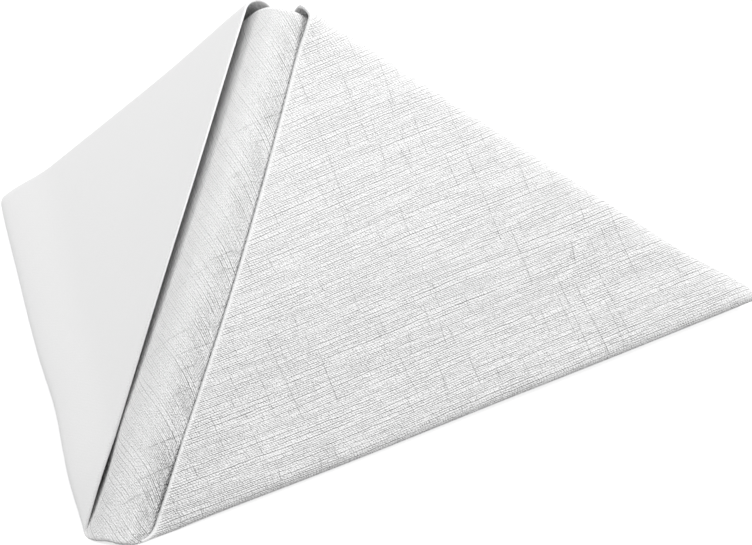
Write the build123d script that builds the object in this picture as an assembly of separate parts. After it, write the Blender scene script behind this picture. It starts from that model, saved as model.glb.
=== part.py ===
from build123d import *
from math import atan, cos, degrees, radians, sin, sqrt, tan
import os

# A square paper napkin in the standing pyramid fold, as one folded sheet.
# The square is folded corner to corner, its side corners are brought up to the top corner, the
# diamond is turned back on itself across its width, and the triangle is bent along its middle.
# Every leaf below is two plies lying together, because the first fold doubles the whole sheet.

# The open sheet and its paper, in millimetres
sheet_side = 400.0
leaf_thickness = 0.9
leaf_pitch = 1.8

# The bend along the ridge, in degrees and millimetres
panel_angle = 76.0
ridge_radius = 7.2

# The strip of covered leaf that shows between the free edges of the two flaps
left_strip_width = 5.8
right_strip_width = 8.0
strip_overhang = 1.8

# The pressed foot of each base fold, and the blunt side tips
foot_press = 0.2
tip_blunting = 4.0

# Sizes of the folded sheet that follow from the flat pattern
half_turn = radians((180.0 - panel_angle) / 2)
ridge_slope = atan(sin(half_turn))
panel_slope = atan(sqrt(2) * sin(ridge_slope) / (cos(half_turn) * cos(ridge_slope)))
bend_arc = ridge_radius * half_turn
bend_setback = ridge_radius * tan(half_turn)
arc_saving = bend_setback - bend_arc
strip_width = (left_strip_width + right_strip_width) / 2
half_diagonal = sheet_side / sqrt(2)
panel_side = (half_diagonal + strip_width) / 2 + arc_saving
strip_foot = strip_width + arc_saving - strip_overhang

# Radii of the folds, measured to the middle of the leaf
inner_fold_radius = leaf_pitch / 2
outer_fold_radius = 3 * leaf_pitch / 2
fold_reach = outer_fold_radius + leaf_thickness / 2
rear_fold_place = panel_side - fold_reach
bend_centre_depth = ridge_radius / cos(half_turn)

# Room for cutting bodies, well beyond the sheet
cut_room = sheet_side

# The panel on the right: u runs out along the rear edge, v up the ridge, n out of the panel
along_u = Vector(cos(half_turn), 0, -sin(half_turn))
along_v = Vector(0, 1, 0)
along_n = Vector(sin(half_turn), 0, cos(half_turn))
right_panel = Plane(origin=(0, 0, 0), x_dir=along_u, z_dir=along_n)


def bullet(radius):
    """Outline of a filled fold: a rear half disc that runs forward at full height."""
    body = Pos(-panel_side / 2, 0) * Rectangle(panel_side, 2 * radius)
    return body + Circle(radius)


def turned_leaf(fold_radius):
    """Section of one leaf that passes over the rear fold and comes back on the inside."""
    return bullet(fold_radius + leaf_thickness / 2) - bullet(fold_radius - leaf_thickness / 2)


def flat_leaf(fold_radius, start):
    """One turned leaf over the flat of the right panel, from the given u outwards."""
    origin = along_u * start + along_v * rear_fold_place - along_n * (leaf_pitch / 2)
    section_plane = Plane(origin=origin, x_dir=along_v, z_dir=along_u)
    return extrude(section_plane * turned_leaf(fold_radius), panel_side - start)


def bent_leaf():
    """The covered leaf where it bends round the ridge."""
    section_depth = ridge_radius - leaf_pitch / 2 - bend_centre_depth
    section_plane = Plane(
        origin=(0, rear_fold_place, section_depth), x_dir=(0, 1, 0), z_dir=(1, 0, 0)
    )
    bend_axis = Axis((0, 0, -bend_centre_depth), (0, 1, 0))
    section = (section_plane * turned_leaf(inner_fold_radius)).rotate(
        bend_axis, -degrees(half_turn)
    )
    return revolve(section, bend_axis, 2 * degrees(half_turn))


# The base frame of a panel: along the base edge, up the panel from it, and out of the panel
along_base = (along_u + along_v) / sqrt(2)
base_plane = Plane(origin=(0, 0, 0), x_dir=along_base, z_dir=along_n)

# How far up the panel the axis of the base fold lies, for a foot pressed flat on the ground
base_fold_outer = inner_fold_radius + leaf_thickness / 2
base_fold_height = (
    base_fold_outer - foot_press - leaf_pitch / 2 * cos(panel_slope)
) / sin(panel_slope)


def base_fold(flap_start):
    """The closed fold along the base edge, where the flap turns into the covered leaf."""
    ring = Circle(base_fold_outer) - Circle(inner_fold_radius - leaf_thickness / 2)
    lower_half = Pos(-base_fold_outer, 0) * Rectangle(2 * base_fold_outer, 4 * base_fold_outer)
    section = ring & lower_half
    origin = base_plane.from_local_coords((0, base_fold_height, leaf_pitch / 2))
    section_plane = Plane(origin=origin, x_dir=base_plane.y_dir, z_dir=-base_plane.x_dir)
    tube = extrude(section_plane * section, -cut_room)
    ahead_of_flap = right_panel * Pos(flap_start - cut_room / 2, 0, 0) * Box(cut_room, cut_room, cut_room)
    behind_fold = right_panel * Pos(0, rear_fold_place + cut_room / 2, 0) * Box(
        2 * cut_room, cut_room, cut_room
    )
    return tube - ahead_of_flap - behind_fold


def front_trim():
    """What lies below the axis of the base fold, on the two leaves that face outwards."""
    body = Box(2 * cut_room, cut_room, cut_room, align=(Align.CENTER, Align.MAX, Align.MIN))
    return base_plane * Pos(0, base_fold_height, -leaf_pitch / 2) * body


def tip_trim():
    """What lies beyond the blunt end of the side tip."""
    tip = right_panel.from_local_coords((panel_side, panel_side, 0))
    outward = (along_u + along_base).normalized()
    trim_plane = Plane(origin=tip - outward * tip_blunting, z_dir=outward)
    return trim_plane * Box(cut_room, cut_room, cut_room, align=(Align.CENTER, Align.CENTER, Align.MIN))


def panel(flap_width):
    """One side of the pyramid, with the free edge of its flap at the given width of strip."""
    flap_start = flap_width + arc_saving
    covered_leaf = flat_leaf(inner_fold_radius, bend_setback)
    flap = flat_leaf(outer_fold_radius, flap_start)
    leaves = (covered_leaf + flap) - front_trim()
    return leaves + base_fold(flap_start) - tip_trim()


def folded_napkin():
    """The whole folded sheet, standing on its two base edges with the ridge to the front."""
    right = panel(right_strip_width)
    left = panel(left_strip_width).mirror(Plane.YZ)
    sheet = bent_leaf() + right + left
    ahead_of_strip = Pos(0, strip_foot - cut_room / 2, 0) * Box(cut_room, cut_room, cut_room)
    sheet = sheet - ahead_of_strip
    standing = sheet.rotate(Axis.X, degrees(ridge_slope))
    below_ground = Box(
        2 * cut_room, 2 * cut_room, cut_room, align=(Align.CENTER, Align.CENTER, Align.MAX)
    )
    standing = standing - below_ground
    box = standing.bounding_box()
    centre = box.center()
    return Pos(-centre.X, -centre.Y, -box.min.Z) * standing


os.makedirs("parts", exist_ok=True)
napkin = folded_napkin()
export_step(napkin, "parts/napkin.step")
print("solids", len(napkin.solids()), "volume", round(napkin.volume, 1))
print("size", [round(v, 2) for v in napkin.bounding_box().size])
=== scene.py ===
"""A square linen-embossed paper napkin in the standing pyramid fold.

The open sheet is laid out flat as a fine triangle mesh. The mesh is then taken through the folds
in the order in which a napkin is folded: in half along a diagonal, the side corners up to the
top, the diamond back over its width, and the triangle bent along its middle.

All lengths are in metres. While the napkin is being folded it lies flat: across runs to the right
from the ridge line, up from the foot to the top, and out towards the side that will show.
"""

from math import atan, ceil, cos, pi, radians, sin, sqrt

import bpy
import numpy as np
from bpy.props import FloatProperty, FloatVectorProperty, PointerProperty
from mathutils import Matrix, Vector
from mathutils.geometry import delaunay_2d_cdt


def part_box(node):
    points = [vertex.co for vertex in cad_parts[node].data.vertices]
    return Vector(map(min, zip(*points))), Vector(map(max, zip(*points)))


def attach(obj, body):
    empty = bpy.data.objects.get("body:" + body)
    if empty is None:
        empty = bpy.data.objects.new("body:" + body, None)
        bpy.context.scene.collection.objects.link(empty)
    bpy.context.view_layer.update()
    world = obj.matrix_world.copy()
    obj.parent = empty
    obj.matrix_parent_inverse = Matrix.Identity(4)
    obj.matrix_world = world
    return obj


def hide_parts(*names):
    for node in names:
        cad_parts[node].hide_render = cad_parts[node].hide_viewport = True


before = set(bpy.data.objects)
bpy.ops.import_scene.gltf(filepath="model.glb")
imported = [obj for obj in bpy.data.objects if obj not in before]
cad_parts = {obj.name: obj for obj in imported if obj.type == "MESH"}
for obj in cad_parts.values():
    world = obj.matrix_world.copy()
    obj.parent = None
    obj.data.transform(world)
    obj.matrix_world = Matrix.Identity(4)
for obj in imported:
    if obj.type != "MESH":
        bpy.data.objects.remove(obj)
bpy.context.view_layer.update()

bl_info = {
    "name": "Folded paper napkin",
    "version": (1, 0, 0),
    "blender": (4, 5, 0),
    "location": "View3D > Sidebar > Napkin",
    "description": "Folds a square paper napkin into a standing pyramid and lights it",
    "category": "Object",
}

DIAGONAL = sqrt(2)
LEFT, RIGHT = -1, 1
BACK, FRONT = -1, 1
PIECE_NAME = "folded_napkin"
NODE_NAME = "napkin"
UV_LAYER = "Sheet"
EMBOSS_AND_PIT_SHADE_LAYER = "emboss_and_pit_shade_left"

# How far each base fold wanders out of a straight line. A ramp has its size, its start and its
# length along the fold, and a bump its size, its middle and its width.
WANDER_RAMPS = {
    LEFT: ((0.0009, 0.03, 0.12), (0.0005, 0.14, 0.05)),
    RIGHT: ((-0.00075, 0.04, 0.08),),
}
WANDER_BUMPS = {
    LEFT: ((0.0003, 0.0, 0.034), (-0.0010, 0.067, 0.024)),
    RIGHT: (),
}

# Painted shade in the embossed pits: from the first height to the second the colour darkens,
# down to this share of it.
PIT_SHADE_START, PIT_SHADE_FULL, PAINTED_PIT_SHADE = -0.20, -1.05, 0.54
PAPER_SPECULAR = 0.2

PHOTO_WIDTH = 752
SENSOR_WIDTH = 36.0
CAMERA_REACH = 50.0
FLOOR_REACH = 4.0
FLOOR_GREY = 0.45
FLOOR_ROUGHNESS = 0.95
LAMP_AIM = (0.0, 0.0, 0.04)
# The name, side and place of each lamp.
LAMPS = (
    ("top_lamp", 0.35, (0.025, 0.06, 0.535)),
    ("left_lamp", 0.6, (-1.05, 0.05, 0.50)),
    ("right_lamp", 0.6, (0.98, 0.18, 0.74)),
)


class NapkinSizes(bpy.types.PropertyGroup):
    """Sizes of the open sheet and of its folds."""

    sheet_side: FloatProperty(
        name="Sheet side", description="Edge to edge of the open napkin",
        default=0.4, subtype="DISTANCE", unit="LENGTH")
    ply: FloatProperty(
        name="Paper thickness", description="Thickness of one ply of the embossed paper",
        default=0.00022, subtype="DISTANCE", unit="LENGTH")
    leaf_pitch: FloatProperty(
        name="Leaf pitch", description="From one folded leaf to the next, air included",
        default=0.0018, subtype="DISTANCE", unit="LENGTH")
    ply_gap: FloatProperty(
        name="Ply gap", description="Between the two plies of a leaf, middle to middle",
        default=0.00046, subtype="DISTANCE", unit="LENGTH")
    edge_roll: FloatProperty(
        name="Free edge roll", description="Radius of the soft fold along a flap's free edge",
        default=0.00026, subtype="DISTANCE", unit="LENGTH")
    base_roll: FloatProperty(
        name="Base roll", description="Half the height of the soft fold that the napkin stands on",
        default=0.0023, subtype="DISTANCE", unit="LENGTH")
    base_sag: FloatProperty(
        name="Base sag", description="How much further out than that height this fold bulges",
        default=0.0012, subtype="DISTANCE", unit="LENGTH")
    foot_drop: FloatProperty(
        name="Foot drop", description="How far the ridge strip reaches down in front at the foot",
        default=0.0018, subtype="DISTANCE", unit="LENGTH")
    foot_roll: FloatProperty(
        name="Foot roll", description="How far the right base fold bulges at the front corner",
        default=0.0032, subtype="DISTANCE", unit="LENGTH")
    panel_angle: FloatProperty(
        name="Panel angle", description="Between the two panels of the pyramid",
        default=radians(76.4), subtype="ANGLE", unit="ROTATION")
    ridge_reach: FloatProperty(
        name="Ridge reach", description="How far the bend of the ridge reaches to each side",
        default=0.0092, subtype="DISTANCE", unit="LENGTH")
    base_strip: FloatProperty(
        name="Base strip", description="From the ridge line to the front end of each base fold",
        default=0.0054, subtype="DISTANCE", unit="LENGTH")
    left_strip: FloatProperty(
        name="Left strip", description="From the ridge line to the left free edge at the foot",
        default=0.0080, subtype="DISTANCE", unit="LENGTH")
    left_taper: FloatProperty(
        name="Left taper", description="How much nearer the ridge line that edge comes at the top",
        default=0.0022, subtype="DISTANCE", unit="LENGTH")
    right_strip: FloatProperty(
        name="Right strip", description="From the ridge line to the right free edge at the foot",
        default=0.0069, subtype="DISTANCE", unit="LENGTH")
    right_taper: FloatProperty(
        name="Right taper", description="How much nearer the ridge line that edge comes at the top",
        default=-0.0006, subtype="DISTANCE", unit="LENGTH")
    left_bow: FloatProperty(
        name="Left bow", description="How far the left free edge bows away from the ridge line",
        default=0.0017, subtype="DISTANCE", unit="LENGTH")
    right_bow: FloatProperty(
        name="Right bow", description="How far the right free edge bows away from the ridge line",
        default=0.0016, subtype="DISTANCE", unit="LENGTH")
    left_swell: FloatProperty(
        name="Left swell", description="How far the left panel swells out at the foot",
        default=0.0014, subtype="DISTANCE", unit="LENGTH")
    left_lift: FloatProperty(
        name="Left lift", description="How far the left flap stands off at the top of the ridge",
        default=0.0010, subtype="DISTANCE", unit="LENGTH")
    right_lift: FloatProperty(
        name="Right lift", description="How far the right flap stands off at the top of the ridge",
        default=0.0002, subtype="DISTANCE", unit="LENGTH")
    fine_pitch: FloatProperty(
        name="Fine pitch", description="Mesh pitch where the paper shows",
        default=0.0025, subtype="DISTANCE", unit="LENGTH")
    coarse_pitch: FloatProperty(
        name="Coarse pitch", description="Mesh pitch on the plies that are covered",
        default=0.008, subtype="DISTANCE", unit="LENGTH")


class PaperFinish(bpy.types.PropertyGroup):
    """Colour and embossing of the paper."""

    colour: FloatVectorProperty(
        name="Paper colour", description="Plain white of the paper",
        default=(0.90, 0.90, 0.90), size=3, min=0.0, max=1.0, subtype="COLOR")
    roughness: FloatProperty(
        name="Roughness", description="Roughness of the matt paper",
        default=0.92, min=0.0, max=1.0)
    thread_pitch: FloatProperty(
        name="Thread pitch", description="Between the long embossed threads",
        default=0.00093, subtype="DISTANCE", unit="LENGTH")
    cross_pitch: FloatProperty(
        name="Cross pitch", description="Between the short cross threads",
        default=0.00080, subtype="DISTANCE", unit="LENGTH")
    emboss_depth: FloatProperty(
        name="Emboss depth", description="Depth of the embossed weave",
        default=0.00045, subtype="DISTANCE", unit="LENGTH")


class StudioSettings(bpy.types.PropertyGroup):
    """Camera, lamps and backdrop."""

    view_turn: FloatProperty(
        name="View turn", description="How far the camera stands round to the right",
        default=radians(19.1), subtype="ANGLE", unit="ROTATION")
    view_height: FloatProperty(
        name="View height", description="How far the camera looks down",
        default=radians(22.19), subtype="ANGLE", unit="ROTATION")
    view_distance: FloatProperty(
        name="View distance", description="From the camera to the point that it looks at",
        default=3.623, subtype="DISTANCE", unit="LENGTH")
    focal_pixels: FloatProperty(
        name="Focal length in pixels", description="Long lens, measured in widths of a pixel",
        default=16000.0, min=100.0)
    target: FloatVectorProperty(
        name="Target", description="The point that the camera looks at",
        default=(0.03064, 0.0, 0.0351), size=3, subtype="XYZ", unit="LENGTH")
    top_power: FloatProperty(
        name="Top lamp", description="Power of the lamp nearly overhead", default=1.0)
    left_power: FloatProperty(
        name="Left lamp", description="Power of the lamp on the left", default=4.75)
    right_power: FloatProperty(
        name="Right lamp", description="Power of the higher lamp on the right", default=9.4)
    sky_strength: FloatProperty(
        name="Sky", description="Strength of the even light from all round", default=0.45)
    floor_glow: FloatProperty(
        name="Floor glow", description="Light that the camera sees in the floor besides its own",
        default=0.78)


def ramp(value, start=0.0, length=1.0):
    """Smooth step from 0 to 1 as value goes up from start over length."""
    share = np.clip((value - start) / length, 0.0, 1.0)
    return share * share * (3.0 - 2.0 * share)


def bell(value, width):
    """Smooth bump: 1 where value is 0, and almost nothing beyond twice the width."""
    return np.exp(-np.square(value / width))


def steps(low, high, pitch):
    """Evenly spaced values from low to high, no further apart than pitch."""
    return np.linspace(low, high, max(2, int(ceil((high - low) / pitch)) + 1))


def graded(low, high, pitch, *close_stretches):
    """Values from low to high at one pitch, closer together inside each (start, end, pitch)."""
    runs = []
    for start, end, close_pitch in close_stretches:
        runs.append(steps(low, start, pitch))
        runs.append(steps(start, end, close_pitch))
        low = end
    runs.append(steps(low, high, pitch))
    return np.unique(np.round(np.concatenate(runs), 7))


def grid(columns, rows):
    """All points of a rectangular grid as two flat arrays."""
    across, up = np.meshgrid(columns, rows)
    return across.ravel(), up.ravel()


class Pattern:
    """Where the creases of the pyramid fold lie on the open sheet.

    g runs along the first crease from the left corner to the right corner, h across it, with the
    front ply at positive h. Both are measured from the middle of the sheet. The covered leaf
    shows its front ply, and a flap, being turned over, its back ply.
    """

    def __init__(self, sizes):
        self.sizes = sizes
        self.reach = sizes.sheet_side / DIAGONAL
        self.half_turn = (pi - sizes.panel_angle) / 2
        self.slope = atan(sin(self.half_turn))
        self.rear_radius = sizes.leaf_pitch / 2
        self.strip = sizes.base_strip
        # The rear line lies half way up, so that the raw corners end just above the ground.
        raw_edge_lift = 0.9 * sizes.base_roll
        folded_height = self.reach - self.strip + raw_edge_lift
        self.rear_line = folded_height / 2 - self.rear_radius * pi / 2
        # How far past the rear line the paper still turns. The flaps turn on a wider circle.
        self.leaf_turn_end = pi * (self.rear_radius + sizes.ply_gap)
        self.flap_turn_end = pi * (self.rear_radius + 1.7 * sizes.leaf_pitch)


class SheetPoints:
    """Points of the open sheet: close rows along every fold, and wide ones where it stays flat."""

    # Half the side of the square of close rows round the front end of a base fold.
    FOOT = 0.006
    FOOT_PITCH = 0.0005
    # How far from that end the rows across the free edge stay close.
    PAST_FOOT = 0.015
    PAST_FOOT_PITCH = 0.0008
    # How far the rows along a base fold reach on each side of it, and its bend within them.
    BASE_BAND = 0.0085
    BASE_PITCH = 0.0013
    BASE_BEND = (-0.0045, 0.0045, 0.0005)
    # How far before the rear line the close rows of its turn start.
    BEFORE_TURN = 0.001
    FLAP_TURN_PITCH = 0.0006
    LEAF_TURN_PITCH = 0.0004
    # The close rows along the ridge start a little above the foot.
    RIDGE_START = 0.002
    RIDGE_PITCH = 0.0009
    # Points this near to a line count as on it.
    ON_CREASE = 1e-7
    ON_EDGE = 1e-6

    def __init__(self, pattern):
        sizes, roll = pattern.sizes, pattern.sizes.edge_roll
        self.reach, self.strip, self.rear = pattern.reach, pattern.strip, pattern.rear_line
        self.fine, self.coarse, self.roll = sizes.fine_pitch, sizes.coarse_pitch, roll
        # Rows beside the first crease: closest on the bend itself, and wider beyond it.
        bend_end, beside_pitch = 1.6 * roll, 1.1 * roll
        self.bend_pitch = 0.32 * roll
        self.crease_end = 6.0 * roll
        self.crease = ((0.0, bend_end, self.bend_pitch),
                       (bend_end, self.crease_end, beside_pitch))
        flap_rear = self.strip + self.rear
        self.flap_turn = (flap_rear - self.BEFORE_TURN, flap_rear + pattern.flap_turn_end,
                          self.FLAP_TURN_PITCH)
        self.leaf_turn = (self.rear - self.BEFORE_TURN, self.rear + pattern.leaf_turn_end,
                          self.LEAF_TURN_PITCH)
        ridge_end = 1.2 * sizes.ridge_reach
        self.ridge = (-ridge_end, ridge_end, self.RIDGE_PITCH)
        self.sets = []

    def keep(self, kept, g, h):
        """Adds the points for which kept is true."""
        self.sets.append(np.stack([g[kept], h[kept]], axis=1))

    def keep_on_both_sides(self, kept, g, h):
        """Adds those points and their mirror images."""
        for side in (LEFT, RIGHT):
            self.keep(kept, side * g, h)

    def at_foot(self, g, h):
        """True inside the squares round the front ends of the base folds."""
        return (np.abs(np.abs(g) - self.strip) < self.FOOT) & (np.abs(h) < self.FOOT)

    def add_flap(self, ply, pitch):
        """One ply of both flaps, from the first crease's close rows to the base folds."""
        g, h = grid(graded(0.0, self.reach, pitch, self.flap_turn),
                    steps(self.crease_end, self.reach / 2, pitch)[1:])
        clear = (g - self.strip - h > DIAGONAL * self.BASE_BAND) & ~self.at_foot(g, h)
        self.keep_on_both_sides(clear, g, ply * h)

    def add_free_edges(self, ply):
        """Rows along the free edges of the flaps, closer the nearer they are to the crease."""
        start = self.strip + self.FOOT
        past_foot = (start, self.strip + self.PAST_FOOT, self.PAST_FOOT_PITCH)
        g, h = grid(graded(start, self.reach, self.fine, past_foot, self.flap_turn),
                    graded(0.0, self.crease_end, self.fine, *self.crease))
        self.keep_on_both_sides((ply == BACK) | (h > 0.0), g, ply * h)

    def add_base_fold(self, ply, pitch):
        """The strip of paper on each side of a base fold, in rows along the fold."""
        along, beyond = grid(
            steps(0.0, self.reach / DIAGONAL, pitch),
            graded(-self.BASE_BAND, self.BASE_BAND, self.BASE_PITCH, self.BASE_BEND))
        g = self.strip + (along + beyond) / DIAGONAL
        h = (along - beyond) / DIAGONAL
        on_ply = h > (0.0 if ply == FRONT else -self.ON_CREASE)
        on_free_edge = (np.abs(g) > self.strip) & (np.abs(h) < self.crease_end + self.ON_EDGE)
        self.keep_on_both_sides(on_ply & ~self.at_foot(g, h) & ~on_free_edge, g, ply * h)

    def add_front_ends(self):
        """A square of close rows round each front end of the base folds, where all folds meet."""
        g, h = grid(
            steps(self.strip - self.FOOT, self.strip + self.FOOT, self.FOOT_PITCH),
            graded(-self.FOOT, self.FOOT, self.FOOT_PITCH,
                   (-self.roll, self.roll, self.bend_pitch)))
        # The two squares overlap a little at the ridge line, where only the left one is kept.
        for side in (LEFT, RIGHT):
            self.keep((side == LEFT) | (g > 0.0), side * g, h)

    def on_covered_leaf(self, g, h):
        """True where the paper stays between the base folds."""
        between = np.abs(g) - self.strip - h < -DIAGONAL * self.BASE_BAND
        return between & ~self.at_foot(g, h)

    def add_covered_leaf(self, ply):
        """One ply of the covered leaf, with close columns where the ridge will bend."""
        g, h = grid(graded(-self.reach / 2, self.reach / 2, self.coarse, self.ridge),
                    graded(0.0, self.reach, self.coarse, *self.crease, self.leaf_turn))
        self.keep(self.on_covered_leaf(g, h) & ((ply == FRONT) | (h > 0.0)), g, ply * h)

    def add_ridge(self, ply, pitch):
        """More rows across the strip that shows along the ridge."""
        g, h = grid(steps(*self.ridge), steps(self.RIDGE_START, self.rear, pitch))
        self.keep(self.on_covered_leaf(g, h), g, ply * h)

    def gathered(self):
        """All points inside the sheet, and only one of those that nearly coincide."""
        points = np.concatenate(self.sets)
        points = points[np.abs(points).sum(axis=1) < self.reach - self.fine / 3]
        cell = np.round(points / (self.roll / 6)).astype(int)
        first = np.unique(cell, axis=0, return_index=True)[1]
        return points[np.sort(first)]


def flat_points(pattern):
    """All points of the open sheet's mesh, apart from those on its raw edges."""
    points = SheetPoints(pattern)
    for ply, pitch in ((BACK, points.fine), (FRONT, points.coarse)):
        points.add_flap(ply, pitch)
        points.add_free_edges(ply)
        points.add_base_fold(ply, pitch)
    points.add_front_ends()
    for ply, ridge_pitch in ((FRONT, points.fine / 2), (BACK, points.coarse)):
        points.add_covered_leaf(ply)
        points.add_ridge(ply, ridge_pitch)
    return points.gathered()


def flat_mesh(pattern):
    """Triangles over the open sheet, with its four raw edges kept straight."""
    triangles_inside, nearly_same = 1, 1e-5
    reach, pitch = pattern.reach, pattern.sizes.fine_pitch
    corners = [(reach, 0.0), (0.0, reach), (-reach, 0.0), (0.0, -reach)]
    rim = []
    for start, end in zip(corners, corners[1:] + corners[:1]):
        for share in steps(0.0, 1.0, pitch / pattern.sizes.sheet_side)[:-1]:
            rim.append(tuple(a + (b - a) * share for a, b in zip(start, end)))
    points = rim + [tuple(point) for point in flat_points(pattern)]
    # Measured in fine pitches, so that nearly_same is small beside every edge.
    unit = 1.0 / pitch
    scaled = [Vector((g * unit, h * unit)) for g, h in points]
    rim_face = list(range(len(rim)))
    vertices, _, faces, _, _, _ = delaunay_2d_cdt(
        scaled, [], [rim_face], triangles_inside, nearly_same)
    flat = np.array([(vertex.x, vertex.y) for vertex in vertices]) / unit
    return flat, faces


def fold_in_half(pattern, g, h):
    """First fold, along the diagonal. Returns across, up and out of the doubled sheet."""
    sizes = pattern.sizes
    radius, rest = sizes.edge_roll, sizes.ply_gap / 2
    turn = np.clip(h / radius, -pi / 2, pi / 2)
    past = np.maximum(np.abs(h) - radius * pi / 2, 0.0)
    up = radius * (1.0 - np.cos(turn)) + past
    settle = ramp(past, length=12.0 * radius)
    out = np.sin(turn) * (radius + (rest - radius) * settle)
    return g, up, out


def base_wander(along, side):
    """How far out of line the base fold lies, along its length. No fold is quite straight."""
    wander = sum(size * bell(along - middle, width) for size, middle, width in WANDER_BUMPS[side])
    for size, start, length in WANDER_RAMPS[side]:
        wander = wander + size * ramp(along, start, length)
    return wander


def fold_side_corner(pattern, across, up, out, side):
    """Second fold: one side corner is brought up to the top, over a soft base fold.

    The section of that fold is half an oval, with height as half its height and bulge as its
    depth. It is lower at the foot. Also returns 1 for what has become a flap and 0 for the rest.
    """
    foot_reach, settling_heights = 0.012, 7.0
    sizes, strip = pattern.sizes, pattern.strip
    foot_flattening = 0.42 if side == RIGHT else 0.55
    foot_roll = sizes.foot_roll if side == RIGHT else 0.0
    along = (side * across - strip + up) / DIAGONAL
    wander = base_wander(along, side)
    beyond = (side * across - strip - up) / DIAGONAL - wander
    at_foot = bell(along, foot_reach)
    height = sizes.base_roll * (1.0 - foot_flattening * at_foot)
    bulge = height + sizes.base_sag + (foot_roll - sizes.base_sag) * at_foot
    length = pi * np.sqrt((np.square(bulge) + np.square(height)) / 2)
    turn = pi * np.clip(beyond / length + 0.5, 0.0, 1.0)
    past = np.maximum(beyond - length / 2, 0.0)
    folded = -length / 2 + (bulge - out) * np.sin(turn) - past
    inward = np.where(beyond < -length / 2, beyond, folded)
    lifted = height * (1.0 - np.cos(turn)) + out * np.cos(turn)
    # Away from the base fold, the flap comes to rest one leaf pitch above the covered leaf.
    from_base = np.maximum(-length / 2 - inward, 0.0)
    near = 1.0 - ramp(from_base, length=settling_heights * height)
    spare = 2.0 * height - sizes.leaf_pitch
    is_flap = (1.0 - np.cos(turn)) / 2
    past_ridge = side * across > strip / 2
    lifted = lifted - spare / 2 * near * past_ridge - spare * (1.0 - near) * is_flap
    new_across = side * (strip + (along + inward + wander) / DIAGONAL)
    new_up = (along - inward - wander) / DIAGONAL
    touched = side * across > 0.0
    return (
        np.where(touched, new_across, across),
        np.where(touched, new_up, up),
        np.where(touched, lifted, out),
        np.where(touched, is_flap, 0.0),
    )


def just_above_foot(up):
    """From 0 at the foot to nearly 1 just above it, and fading out further up."""
    return bell(up, 0.022) * ramp(up, length=0.008)


def free_edge_shift(pattern, across, up):
    """The flaps lie a little askew: their free edges leave the line of a perfect fold."""
    foot_bow, top_lean, turn_reach, lean_reach = 0.0008, 0.0022, 0.004, 0.010
    sizes = pattern.sizes
    climb = up / pattern.rear_line
    bow = np.sin(pi * np.clip(climb, 0.0, 1.0))
    left = sizes.left_strip - pattern.strip - sizes.left_taper * climb + sizes.left_bow * bow
    right = sizes.right_strip - pattern.strip - sizes.right_taper * climb + sizes.right_bow * bow
    right = right + foot_bow * just_above_foot(up)
    # Where it turns over the rear fold, the right flap's edge also leans in towards the ridge.
    from_edge = np.maximum(np.abs(across) - pattern.strip, 0.0)
    turned = ramp(up, pattern.rear_line, turn_reach)
    lean = top_lean * turned * bell(from_edge, lean_reach)
    return np.where(across < 0.0, -left, right - lean)


def lift_flap(pattern, across, up, out, flap):
    """How the flaps stand off the covered leaf or lie on it, and how the left panel swells."""
    sizes = pattern.sizes
    left = across < 0.0
    strip = np.where(left, sizes.left_strip, sizes.right_strip)
    from_edge = np.maximum(np.abs(across) - strip, 0.0)
    # The left flap stands off towards the top, and is pressed down at the foot.
    lift_reach, press, press_height, press_reach = 0.030, 0.0014, 0.043, 0.012
    climb = ramp(up, length=pattern.rear_line)
    left_lift = sizes.left_lift * climb * bell(from_edge, lift_reach)
    left_lift = left_lift - press * bell(up, press_height) * bell(from_edge, press_reach)
    # The right flap lies on the covered leaf, and springs up where it turns over the rear fold.
    touching_gaps, foot_press, rest_reach, top_reach = 1.9, 0.0012, 0.009, 0.006
    near_edge = bell(from_edge, rest_reach)
    resting = sizes.leaf_pitch - touching_gaps * sizes.ply_gap + foot_press * just_above_foot(up)
    resting = resting * near_edge
    at_top = bell(np.maximum(pattern.rear_line - up, 0.0), top_reach)
    spring = (sizes.right_lift + resting) * near_edge
    swell_height, swell_start = 0.038, 0.006
    swell = sizes.left_swell * bell(up, swell_height) * ramp(-across, length=swell_start)
    return out + swell + flap * np.where(left, left_lift, at_top * spring - resting)


def fold_back(pattern, up, out):
    """Third fold: all above the rear line turns back and down on the inside.

    Also returns what has come to lie inside.
    """
    radius = np.maximum(pattern.rear_radius + out, pattern.sizes.ply)
    turn = np.clip((up - pattern.rear_line) / radius, 0.0, pi)
    past = np.maximum(up - pattern.rear_line - pi * radius, 0.0)
    new_up = np.where(turn > 0.0, pattern.rear_line + radius * np.sin(turn) - past, up)
    new_out = np.where(turn > 0.0, -pattern.rear_radius + radius * np.cos(turn), out)
    return new_up, new_out, past > 0.0


def ridge_profile(pattern):
    """The section across the ridge: places along the paper, with angle and position at each."""
    sample_count = 1601
    reach = pattern.sizes.ridge_reach
    places = np.linspace(-2.0 * reach, 2.0 * reach, sample_count)
    share = np.clip(places / reach, -1.0, 1.0)
    angle = pattern.half_turn * share * (3.0 - np.square(share)) / 2
    pitch = places[1] - places[0]
    between = (angle[1:] + angle[:-1]) / 2
    side = np.concatenate([[0.0], np.cumsum(np.cos(between)) * pitch])
    drop = np.concatenate([[0.0], np.cumsum(np.sin(between)) * pitch])
    middle = sample_count // 2
    return places, angle, side - side[middle], drop - drop[middle]


def bend_ridge(pattern, across, out, flap):
    """Last fold: the triangle is bent along its middle. Returns wide and low across the ridge."""
    places, angle, side, drop = ridge_profile(pattern)
    half, end = pattern.half_turn, places[-1]
    held = np.clip(across, -end, end)
    over = across - held
    theta = np.interp(held, places, angle)
    wide = np.interp(held, places, side) + over * cos(half)
    low = np.interp(held, places, drop) + np.abs(over) * sin(half)
    wide = wide + out * np.sin(theta)
    low = low - out * np.cos(theta)
    # The left flap keeps its plane right up to its free edge.
    flat_wide = side[0] + (across - places[0]) * cos(half) - out * sin(half)
    flat_low = drop[0] - (across - places[0]) * sin(half) - out * cos(half)
    keeps = flap * (across < 0.0)
    return wide + (flat_wide - wide) * keeps, low + (flat_low - low) * keeps


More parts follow.
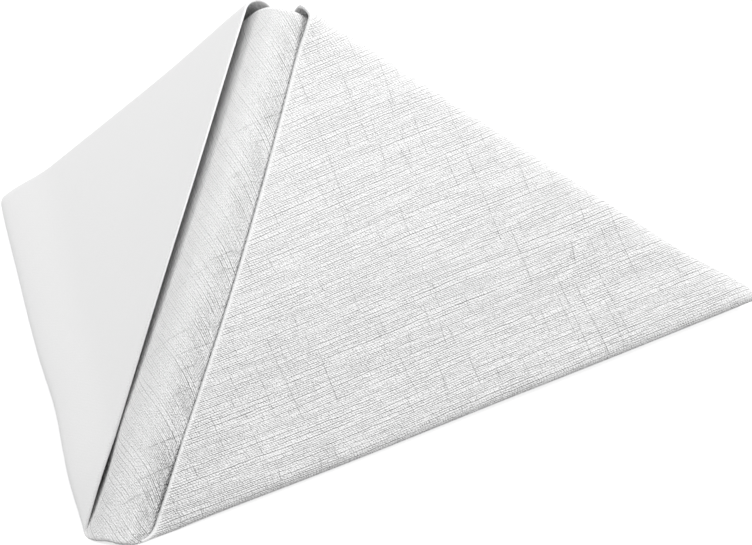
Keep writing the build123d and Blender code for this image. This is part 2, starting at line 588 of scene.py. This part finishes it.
def drop_foot(pattern, across, up, flap):
    """The end of the ridge strip reaches down in front, between the two base folds."""
    middle, half_width, side_fade, fade_up = -0.0015, 0.0025, 0.0045, 0.008
    beside = np.maximum(np.abs(across - middle) - half_width, 0.0)
    foot = bell(beside, side_fade) * np.exp(-np.maximum(up, 0.0) / fade_up)
    return up - pattern.sizes.foot_drop * foot * (1.0 - flap)


def bend_raw_corners(pattern, wide, depth, height, inside):
    """Raw corners inside that would reach below the base folds are bent inwards there."""
    tip_length, inwards, backwards = 0.02, 1.1, 0.6
    at_tips = ~inside & (depth > depth.max() - tip_length)
    # The base rises a little from the front corner to the tips.
    ends = [depth.min(), depth.max()]
    base = np.interp(depth, ends, [height[~inside].min(), height[at_tips].min()])
    lowest = base + 2.0 * pattern.sizes.ply
    too_low = np.where(inside, np.maximum(lowest - height, 0.0), 0.0)
    wide = wide - inwards * np.sign(wide) * too_low
    return np.stack([wide, depth + backwards * too_low, height + too_low], axis=1)


def fold_sheet(pattern, flat):
    """Takes points of the open sheet through all the folds, to places in the standing napkin."""
    across, up, out = fold_in_half(pattern, flat[:, 0], flat[:, 1])
    across, up, out, right_flap = fold_side_corner(pattern, across, up, out, RIGHT)
    across, up, out, left_flap = fold_side_corner(pattern, across, up, out, LEFT)
    flap = np.maximum(left_flap, right_flap)
    up = drop_foot(pattern, across, up, flap)
    across = across + flap * free_edge_shift(pattern, across, up)
    out = lift_flap(pattern, across, up, out, flap)
    up, out, inside = fold_back(pattern, up, out)
    wide, low = bend_ridge(pattern, across, out, flap)
    slope = pattern.slope
    height = up * sin(slope) - low * cos(slope)
    depth = up * cos(slope) + low * sin(slope)
    return bend_raw_corners(pattern, wide, depth, height, inside)


def emboss_and_pit_shade_left(pattern, flat):
    """How much embossing and painted pit shade is left at each point of the sheet.

    The left flap is pressed nearly smooth, and so are the free edges. The rear fold and the
    middle of the ridge strip lose a part of it.
    """
    edge_width, turn_middle, turn_width = 0.0006, 0.001, 0.004
    g, h = flat[:, 0], flat[:, 1]
    from_strip = np.abs(g) - pattern.strip
    on_front = h > 0.0
    into_left_flap = np.minimum(-h, -g - pattern.strip + h)
    left_flap = ramp(into_left_flap, start=-0.0015, length=0.003)
    free_edge = bell(h, edge_width) * (from_strip > 0.0)
    up = np.maximum(from_strip, np.abs(h))
    rear_fold = bell(up - pattern.rear_line - turn_middle, turn_width)
    ridge_left, ridge_right = ramp(g, -0.0100, 0.0035), ramp(-g, -0.0045, 0.005)
    ridge_middle = ridge_left * ridge_right * on_front
    # Deepest along the base folds and on the right half of the ridge strip, and the painted pit
    # shade darkest there too.
    open_depth, base_gain, base_width, right_gain = 0.72, 0.22, 0.045, 0.25
    from_base = (from_strip - np.abs(h)) / DIAGONAL
    left = open_depth + base_gain * bell(from_base, base_width)
    right_half = ramp(g, start=0.002, length=0.004) * on_front * (from_base < 0.0)
    left = left * (1.0 + right_gain * right_half)
    pressed_away = ((left_flap, 0.94), (free_edge, 0.8), (rear_fold, 0.15), (ridge_middle, 0.35))
    for place, share in pressed_away:
        left = left * (1.0 - share * place)
    return left


def seat_in_frame(places, ply):
    """Moves the folded sheet so that it stands where the CAD part stands."""
    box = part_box(NODE_NAME)
    low, high = np.array(box[0]), np.array(box[1])
    own_low, own_high = places.min(axis=0), places.max(axis=0)
    middle_y = (low[1] + high[1] - own_low[1] - own_high[1]) / 2
    return places + np.array([0.0, middle_y, low[2] - own_low[2] + ply / 2])


class Emboss:
    """Builds the height of the linen embossing from nodes. Places are in metres on the sheet."""

    def __init__(self, material, place):
        self.nodes, self.links = material.node_tree.nodes, material.node_tree.links
        self.place = place

    def math(self, operation, first, second=None):
        """One Math node. Each input is a number or another node's output."""
        node = self.nodes.new("ShaderNodeMath")
        node.operation = operation
        for socket, value in zip(node.inputs, (first, second)):
            if isinstance(value, (int, float)):
                socket.default_value = value
            elif value is not None:
                self.links.new(value, socket)
        return node.outputs[0]

    def smooth_step(self, value, low, high):
        """0 where value is below low, 1 where it is above high, and soft between."""
        edge = self.nodes.new("ShaderNodeMapRange")
        edge.interpolation_type = "SMOOTHSTEP"
        edge.inputs["From Min"].default_value = low
        edge.inputs["From Max"].default_value = high
        self.links.new(value, edge.inputs["Value"])
        return edge.outputs["Result"]

    def noise(self, size_s, size_t, seed):
        """Soft noise whose grains are size_s long one way and size_t the other."""
        stretch = self.nodes.new("ShaderNodeMapping")
        stretch.inputs["Scale"].default_value = (1.0 / size_s, 1.0 / size_t, 1.0)
        stretch.inputs["Location"].default_value = (seed, 2.3 * seed, 0.7 * seed)
        self.links.new(self.place, stretch.inputs["Vector"])
        noise = self.nodes.new("ShaderNodeTexNoise")
        noise.inputs["Scale"].default_value = 1.0
        noise.inputs["Detail"].default_value = 1.0
        self.links.new(stretch.outputs["Vector"], noise.inputs["Vector"])
        return noise.outputs["Fac"]

    def wobble(self, size_s, size_t, turns, seed):
        """Noise that moves lines along by up to so many of their pitches."""
        return self.math("MULTIPLY", self.noise(size_s, size_t, seed), 2 * pi * turns)

    def fading(self, size_s, size_t, low, high, seed):
        """A soft mask that lets lines come and go."""
        return self.smooth_step(self.noise(size_s, size_t, seed), low, high)

    def uneven(self, size_s, size_t, seed, least):
        """From least to 1, soft along the threads and different from thread to thread."""
        fade = self.fading(size_s, size_t, low=0.34, high=0.66, seed=seed)
        return self.math("ADD", self.math("MULTIPLY", fade, 1.0 - least), least)

    def waves(self, coordinate, pitch, wobble):
        """Even waves with a little wobble, from -1 to 1."""
        phase = self.math("ADD", self.math("MULTIPLY", coordinate, 2 * pi / pitch), wobble)
        return self.math("SINE", phase)

    def furrows(self, coordinate, pitch, wobble, width):
        """Narrow lines, 1 in the line and 0 beside it, that wander like pressed threads."""
        return self.smooth_step(self.waves(coordinate, pitch, wobble), cos(pi * width), 1.0)


def emboss_height(material, place, finish):
    """Long uneven threads one way, short slanting ones across, and a grain of fibres."""
    emboss = Emboss(material, place)
    math = emboss.math
    thread, cross = finish.thread_pitch, finish.cross_pitch
    apart = emboss.nodes.new("ShaderNodeSeparateXYZ")
    emboss.links.new(place, apart.inputs[0])
    along, over = apart.outputs["X"], apart.outputs["Y"]

    # Furrows on both sides of each long thread, each with its own strength along the way.
    drift = math("ADD",
                 emboss.wobble(0.080, 0.0060, turns=2.0, seed=4.1),
                 emboss.wobble(0.0040, 0.0012, turns=0.4, seed=6.3))
    furrows = math("MULTIPLY",
                   emboss.furrows(over, thread, drift, width=0.17),
                   emboss.uneven(0.018, 0.00045, seed=3.3, least=0.35))
    other_side = math("MULTIPLY",
                      emboss.furrows(over, thread, math("ADD", drift, pi), width=0.15),
                      emboss.uneven(0.012, 0.00045, seed=7.1, least=0.20))
    # Short slanting dashes where the cross threads pass over, out of step from row to row.
    slant = math("ADD", along, math("MULTIPLY", over, cross / (1.9 * thread)))
    dashes = math("MULTIPLY",
                  emboss.waves(slant, cross, emboss.wobble(0.0026, 0.0007, turns=1.8, seed=1.7)),
                  emboss.uneven(0.0011, 0.0007, seed=8.6, least=0.2))
    # A few cross threads run right across the rows.
    wander = emboss.wobble(0.0060, 0.060, turns=3.0, seed=5.2)
    cross_furrows = math("MULTIPLY",
                         emboss.furrows(along, 5.0 * cross, wander, width=0.08),
                         emboss.fading(0.0016, 0.012, low=0.54, high=0.62, seed=9.4))
    # Now and then one of them is thicker and runs on for a long way.
    wander = emboss.wobble(0.050, 0.110, turns=0.9, seed=2.9)
    long_thread = math("MULTIPLY",
                       emboss.furrows(along, 16.0 * cross, wander, width=0.030),
                       emboss.fading(0.012, 0.050, low=0.46, high=0.60, seed=7.7))
    long_thread = math("MULTIPLY", long_thread,
                       emboss.uneven(0.010, 0.0011, seed=4.4, least=0.4))
    fibres = math("SUBTRACT", emboss.noise(0.00042, 0.00036, seed=9.9), 0.5)

    height = math("MULTIPLY", dashes, 0.26)
    pressed_in = ((furrows, 1.25), (other_side, 0.75), (cross_furrows, 0.45), (long_thread, 0.5))
    for lines, depth in pressed_in:
        height = math("SUBTRACT", height, math("MULTIPLY", lines, depth))
    return math("ADD", height, fibres)


def colour_with_painted_pit_shade(material, colour, height, pressed):
    """The paper's colour with painted shade in the pits, where little light would come back."""
    nodes, links = material.node_tree.nodes, material.node_tree.links
    pits = nodes.new("ShaderNodeMapRange")
    pits.inputs["From Min"].default_value = PIT_SHADE_START
    pits.inputs["From Max"].default_value = PIT_SHADE_FULL
    links.new(height, pits.inputs["Value"])
    shade = nodes.new("ShaderNodeMath")
    shade.operation = "MULTIPLY"
    links.new(pits.outputs["Result"], shade.inputs[0])
    links.new(pressed, shade.inputs[1])
    mix = nodes.new("ShaderNodeMix")
    mix.data_type = "RGBA"
    flat_colour, pit_shade_colour = (socket for socket in mix.inputs if socket.type == "RGBA")
    flat_colour.default_value = (*colour, 1.0)
    # The painted pit shade: a darker copy of the paper's colour.
    pit_shade_colour.default_value = (*(PAINTED_PIT_SHADE * channel for channel in colour), 1.0)
    links.new(shade.outputs[0], mix.inputs[0])
    return next(socket for socket in mix.outputs if socket.type == "RGBA")


def linen_paper(finish, sheet_side):
    """Matt white paper with a linen weave pressed into it, and painted shade in its pits."""
    material = bpy.data.materials.new("linen_embossed_paper")
    material.use_nodes = True
    nodes, links = material.node_tree.nodes, material.node_tree.links
    shader = nodes["Principled BSDF"]
    shader.inputs["Roughness"].default_value = finish.roughness
    shader.inputs["Specular IOR Level"].default_value = PAPER_SPECULAR
    uv_map = nodes.new("ShaderNodeUVMap")
    uv_map.uv_map = UV_LAYER
    place = nodes.new("ShaderNodeVectorMath")
    place.operation = "SCALE"
    place.inputs["Scale"].default_value = sheet_side
    links.new(uv_map.outputs["UV"], place.inputs[0])
    height = emboss_height(material, place.outputs[0], finish)
    # How much embossing is left: it sets both the bump and the painted pit shade.
    pressed = nodes.new("ShaderNodeAttribute")
    pressed.attribute_name = EMBOSS_AND_PIT_SHADE_LAYER
    bump = nodes.new("ShaderNodeBump")
    bump.inputs["Distance"].default_value = finish.emboss_depth
    links.new(pressed.outputs["Fac"], bump.inputs["Strength"])
    links.new(height, bump.inputs["Height"])
    links.new(bump.outputs["Normal"], shader.inputs["Normal"])
    # Base colour with painted shade in the embossed pits.
    colour = colour_with_painted_pit_shade(material, finish.colour, height, pressed.outputs["Fac"])
    links.new(colour, shader.inputs["Base Color"])
    return material


def add_sheet_layers(mesh, pattern, flat):
    """Gives the folded mesh its places on the open sheet and what is left of the embossing."""
    side = pattern.sizes.sheet_side
    sheet_s = (flat[:, 0] - flat[:, 1]) / DIAGONAL / side + 0.5
    sheet_t = (flat[:, 0] + flat[:, 1]) / DIAGONAL / side + 0.5
    corners = np.empty(len(mesh.loops), dtype=np.int32)
    mesh.loops.foreach_get("vertex_index", corners)
    layer = mesh.uv_layers.new(name=UV_LAYER)
    layer.data.foreach_set("uv", np.stack([sheet_s[corners], sheet_t[corners]], axis=1).ravel())
    relief = mesh.attributes.new(EMBOSS_AND_PIT_SHADE_LAYER, "FLOAT", "POINT")
    relief.data.foreach_set("value", emboss_and_pit_shade_left(pattern, flat))


class NAPKIN_OT_fold(bpy.types.Operator):
    """Fold the square sheet into a standing pyramid"""

    bl_idname = "napkin.fold"
    bl_label = "Fold napkin"

    def execute(self, context):
        sizes = context.scene.napkin_sizes
        side = sizes.sheet_side
        pattern = Pattern(sizes)
        flat, faces = flat_mesh(pattern)
        places = seat_in_frame(fold_sheet(pattern, flat), sizes.ply)
        mesh = bpy.data.meshes.new(PIECE_NAME)
        mesh.from_pydata([tuple(place) for place in places], [], faces)
        add_sheet_layers(mesh, pattern, flat)
        mesh.shade_smooth()
        mesh.materials.append(linen_paper(context.scene.napkin_paper, side))
        napkin = bpy.data.objects.new(PIECE_NAME, mesh)
        context.scene.collection.objects.link(napkin)
        thickness = napkin.modifiers.new("paper", "SOLIDIFY")
        thickness.thickness = sizes.ply
        thickness.offset = 0.0
        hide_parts(NODE_NAME)
        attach(napkin, "root")
        return {"FINISHED"}


def add_lamp(name, size, power, place):
    """One soft square lamp that faces the napkin."""
    lamp = bpy.data.lights.new(name, "AREA")
    lamp.shape = "SQUARE"
    lamp.size = size
    lamp.energy = power
    holder = bpy.data.objects.new(name, lamp)
    holder.location = place
    towards = Vector(LAMP_AIM) - Vector(place)
    holder.rotation_euler = towards.to_track_quat("-Z", "Y").to_euler()
    bpy.context.scene.collection.objects.link(holder)


def add_camera(scene, studio):
    """A distant camera with a long lens, as for the photo."""
    turn, height = studio.view_turn, studio.view_height
    back = Vector((sin(turn) * cos(height), -cos(turn) * cos(height), sin(height)))
    camera = bpy.data.cameras.new("camera")
    camera.sensor_width = SENSOR_WIDTH
    camera.lens = studio.focal_pixels / PHOTO_WIDTH * camera.sensor_width
    camera.clip_end = CAMERA_REACH
    holder = bpy.data.objects.new("camera", camera)
    holder.location = Vector(studio.target) + back * studio.view_distance
    holder.rotation_euler = (-back).to_track_quat("-Z", "Y").to_euler()
    scene.collection.objects.link(holder)
    scene.camera = holder


def seen_by_camera(nodes, links):
    """1 for what the camera sees directly, in a mirror or through glass, and 0 for other light."""
    path = nodes.new("ShaderNodeLightPath")
    total = path.outputs["Is Camera Ray"]
    for name in ("Is Glossy Ray", "Is Transmission Ray"):
        either = nodes.new("ShaderNodeMath")
        either.operation = "MAXIMUM"
        links.new(total, either.inputs[0])
        links.new(path.outputs[name], either.inputs[1])
        total = either.outputs[0]
    return total


def white_surroundings(strength):
    """A world that lights evenly from all round and looks plain white."""
    world = bpy.data.worlds.new("studio")
    world.use_nodes = True
    nodes, links = world.node_tree.nodes, world.node_tree.links
    light = nodes["Background"]
    light.inputs["Color"].default_value = (1.0, 1.0, 1.0, 1.0)
    level = nodes.new("ShaderNodeMix")
    level.inputs["A"].default_value = strength
    level.inputs["B"].default_value = 1.0
    links.new(seen_by_camera(nodes, links), level.inputs["Factor"])
    links.new(level.outputs["Result"], light.inputs["Strength"])
    return world


def white_floor_paint(glow):
    """Matt paint that looks plain white where it is lit and keeps soft shadows."""
    paint = bpy.data.materials.new("white_floor")
    paint.use_nodes = True
    nodes, links = paint.node_tree.nodes, paint.node_tree.links
    shader = nodes["Principled BSDF"]
    shader.inputs["Base Color"].default_value = (FLOOR_GREY, FLOOR_GREY, FLOOR_GREY, 1.0)
    shader.inputs["Roughness"].default_value = FLOOR_ROUGHNESS
    shader.inputs["Specular IOR Level"].default_value = 0.0
    shader.inputs["Emission Color"].default_value = (1.0, 1.0, 1.0, 1.0)
    level = nodes.new("ShaderNodeMath")
    level.operation = "MULTIPLY"
    level.inputs[1].default_value = glow
    links.new(seen_by_camera(nodes, links), level.inputs[0])
    links.new(level.outputs[0], shader.inputs["Emission Strength"])
    return paint


def add_floor(scene, glow):
    """The white floor under the napkin."""
    reach = FLOOR_REACH
    corners = [(-reach, -reach, 0), (reach, -reach, 0), (reach, reach, 0), (-reach, reach, 0)]
    mesh = bpy.data.meshes.new("floor")
    mesh.from_pydata(corners, [], [(0, 1, 2, 3)])
    floor = bpy.data.objects.new("floor", mesh)
    scene.collection.objects.link(floor)
    mesh.materials.append(white_floor_paint(glow))


class NAPKIN_OT_studio(bpy.types.Operator):
    """Set up the white floor, the lamps and the camera"""

    bl_idname = "napkin.studio"
    bl_label = "Set up studio"

    def execute(self, context):
        scene, studio = context.scene, context.scene.napkin_studio
        add_floor(scene, studio.floor_glow)
        scene.world = white_surroundings(studio.sky_strength)
        powers = (studio.top_power, studio.left_power, studio.right_power)
        for (name, size, place), power in zip(LAMPS, powers):
            add_lamp(name, size, power, place)
        add_camera(scene, studio)
        scene.view_settings.view_transform = "Standard"
        return {"FINISHED"}


class NAPKIN_PT_panel(bpy.types.Panel):
    """Sidebar panel of the napkin"""

    bl_label = "Napkin"
    bl_idname = "NAPKIN_PT_panel"
    bl_space_type = "VIEW_3D"
    bl_region_type = "UI"
    bl_category = "Napkin"

    def draw(self, context):
        layout, scene = self.layout, context.scene
        for group in (scene.napkin_sizes, scene.napkin_paper, scene.napkin_studio):
            column = layout.column()
            for name in group.bl_rna.properties.keys():
                if name not in ("rna_type", "name"):
                    column.prop(group, name)
        layout.operator(NAPKIN_OT_fold.bl_idname)
        layout.operator(NAPKIN_OT_studio.bl_idname)


CLASSES = (
    NapkinSizes,
    PaperFinish,
    StudioSettings,
    NAPKIN_OT_fold,
    NAPKIN_OT_studio,
    NAPKIN_PT_panel,
)


def register():
    """Adds the classes and their settings to Blender."""
    for cls in CLASSES:
        bpy.utils.register_class(cls)
    bpy.types.Scene.napkin_sizes = PointerProperty(type=NapkinSizes)
    bpy.types.Scene.napkin_paper = PointerProperty(type=PaperFinish)
    bpy.types.Scene.napkin_studio = PointerProperty(type=StudioSettings)


def unregister():
    """Takes them out again."""
    del bpy.types.Scene.napkin_studio
    del bpy.types.Scene.napkin_paper
    del bpy.types.Scene.napkin_sizes
    for cls in reversed(CLASSES):
        bpy.utils.unregister_class(cls)


def main():
    """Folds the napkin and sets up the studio."""
    register()
    bpy.ops.napkin.fold()
    bpy.ops.napkin.studio()


if __name__ == "__main__":
    main()
